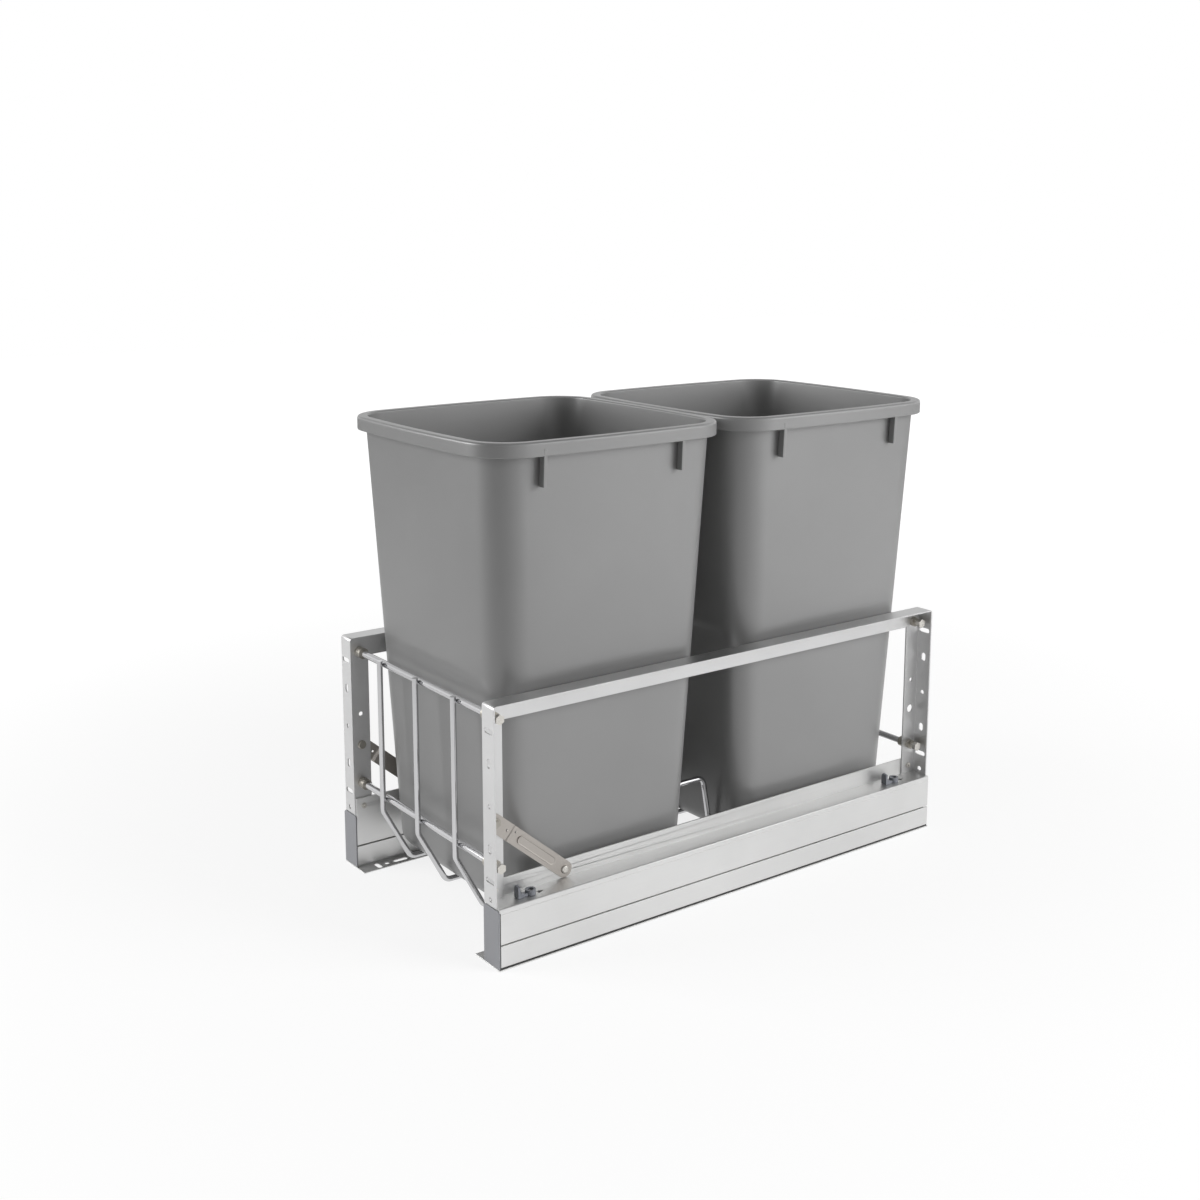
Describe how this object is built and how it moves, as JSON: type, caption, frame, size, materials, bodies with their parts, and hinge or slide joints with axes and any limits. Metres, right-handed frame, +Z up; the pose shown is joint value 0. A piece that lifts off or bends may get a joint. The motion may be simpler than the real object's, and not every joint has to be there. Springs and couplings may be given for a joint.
{
  "type": "pull out waste bin unit",
  "caption": "Bottom-mounted pull-out frame for a kitchen base cabinet: aluminium side frames on telescopic slides, a chrome wire basket and lift-out plastic waste bins.",
  "frame": {"origin": "bottom centre of the whole unit, on the cabinet floor midway between the slides", "axes": "+X to the right seen from the front, +Y from the door side to the rear, +Z up"},
  "size_m": [0.3, 0.5688, 0.475],
  "materials": {
    "aluminium": "satin anodised",
    "bin_plastic": "satin moulded",
    "chrome": "polished",
    "cap_grey": "satin moulded",
    "clip_plastic": "satin moulded",
    "zinc": "zinc plated, warm",
    "bronze_fastener": "yellow zinc plated",
    "fastener": "zinc plated",
    "runner_steel": "zinc plated",
    "closer_plastic": "moulded"
  },
  "bodies": {
    "base": {"base_rail_left": "aluminium", "base_rail_right": "aluminium", "runner_fixed_left": "runner_steel", "runner_fixed_right": "runner_steel", "closer_housing_left": "closer_plastic", "closer_housing_right": "closer_plastic", "closer_damper_left": "closer_plastic", "closer_damper_right": "closer_plastic"},
    "carriage": {"runner_drawer_left": "runner_steel", "runner_drawer_right": "runner_steel", "slide_cover_left": "aluminium", "slide_cover_right": "aluminium", "carriage_rail_left": "aluminium", "carriage_rail_right": "aluminium", "end_cap_left": "cap_grey", "end_cap_right": "cap_grey", "side_frame_left": "aluminium", "side_frame_right": "aluminium", "frame_rivets_left": "fastener", "frame_rivets_right": "fastener", "rod_collars_left": "bronze_fastener", "rod_collars_right": "bronze_fastener", "rod_bolts_left": "fastener", "rod_bolts_right": "fastener", "rod_nuts_left": "bronze_fastener", "rod_nuts_right": "bronze_fastener", "brace_left": "zinc", "brace_right": "zinc", "brace_bolt_left": "fastener", "brace_bolt_right": "fastener", "brace_rivet_left": "fastener", "brace_rivet_right": "fastener", "clip_screws_left": "fastener", "clip_screws_right": "fastener", "basket_wire_1": "chrome", "basket_wire_2": "chrome", "basket_wire_3": "chrome", "cross_rod_front_lower": "chrome", "cross_rod_front_upper": "chrome", "cross_rod_rear_lower": "chrome", "cross_rod_rear_upper": "chrome"},
    "bin_front": {"bin_front": "bin_plastic"},
    "bin_rear": {"bin_rear": "bin_plastic"},
    "middle_left": {"runner_middle_left": "runner_steel"},
    "outer_cage_left": {"ball_cage_outer_left": "runner_steel"},
    "inner_cage_left": {"ball_cage_inner_left": "runner_steel"},
    "middle_right": {"runner_middle_right": "runner_steel"},
    "outer_cage_right": {"ball_cage_outer_right": "runner_steel"},
    "inner_cage_right": {"ball_cage_inner_right": "runner_steel"},
    "clip_front_left": {"clip_front_left": "clip_plastic"},
    "clip_front_right": {"clip_front_right": "clip_plastic"},
    "clip_rear_left": {"clip_rear_left": "clip_plastic"},
    "clip_rear_right": {"clip_rear_right": "clip_plastic"}
  },
  "joints": [
    {"name": "carriage_slide", "type": "slide", "parent": "base", "child": "carriage", "axis": [0, -1, 0], "range_m": [0, 0.55]},
    {"name": "middle_left_slide", "type": "slide", "parent": "base", "child": "middle_left", "axis": [0, -1, 0], "range_m": [0, 0.275]},
    {"name": "outer_cage_left_slide", "type": "slide", "parent": "base", "child": "outer_cage_left", "axis": [0, -1, 0], "range_m": [0, 0.1375]},
    {"name": "inner_cage_left_slide", "type": "slide", "parent": "base", "child": "inner_cage_left", "axis": [0, -1, 0], "range_m": [0, 0.4125]},
    {"name": "middle_right_slide", "type": "slide", "parent": "base", "child": "middle_right", "axis": [0, -1, 0], "range_m": [0, 0.275]},
    {"name": "outer_cage_right_slide", "type": "slide", "parent": "base", "child": "outer_cage_right", "axis": [0, -1, 0], "range_m": [0, 0.1375]},
    {"name": "inner_cage_right_slide", "type": "slide", "parent": "base", "child": "inner_cage_right", "axis": [0, -1, 0], "range_m": [0, 0.4125]},
    {"name": "bin_front_lift", "type": "slide", "parent": "carriage", "child": "bin_front", "axis": [0, 0, 1], "range_m": [0, 0.46]},
    {"name": "bin_rear_lift", "type": "slide", "parent": "carriage", "child": "bin_rear", "axis": [0, 0, 1], "range_m": [0, 0.46]},
    {"name": "clip_front_left_turn", "type": "hinge", "parent": "carriage", "child": "clip_front_left", "pos_m": [-0.137, -0.24205, 0.0588], "axis": [0, 0, -1], "range_deg": [-30, 40]},
    {"name": "clip_front_right_turn", "type": "hinge", "parent": "carriage", "child": "clip_front_right", "pos_m": [0.137, -0.24205, 0.0588], "axis": [0, 0, 1], "range_deg": [-30, 40]},
    {"name": "clip_rear_left_turn", "type": "hinge", "parent": "carriage", "child": "clip_rear_left", "pos_m": [-0.137, 0.23435, 0.0588], "axis": [0, 0, -1], "range_deg": [-30, 40]},
    {"name": "clip_rear_right_turn", "type": "hinge", "parent": "carriage", "child": "clip_rear_right", "pos_m": [0.137, 0.23435, 0.0588], "axis": [0, 0, 1], "range_deg": [-30, 40]}
  ],
  "couplings": [
    {"joint": "middle_left_slide", "follows": "carriage_slide", "ratio": 0.5},
    {"joint": "outer_cage_left_slide", "follows": "carriage_slide", "ratio": 0.25},
    {"joint": "inner_cage_left_slide", "follows": "carriage_slide", "ratio": 0.75},
    {"joint": "middle_right_slide", "follows": "carriage_slide", "ratio": 0.5},
    {"joint": "outer_cage_right_slide", "follows": "carriage_slide", "ratio": 0.25},
    {"joint": "inner_cage_right_slide", "follows": "carriage_slide", "ratio": 0.75}
  ]
}
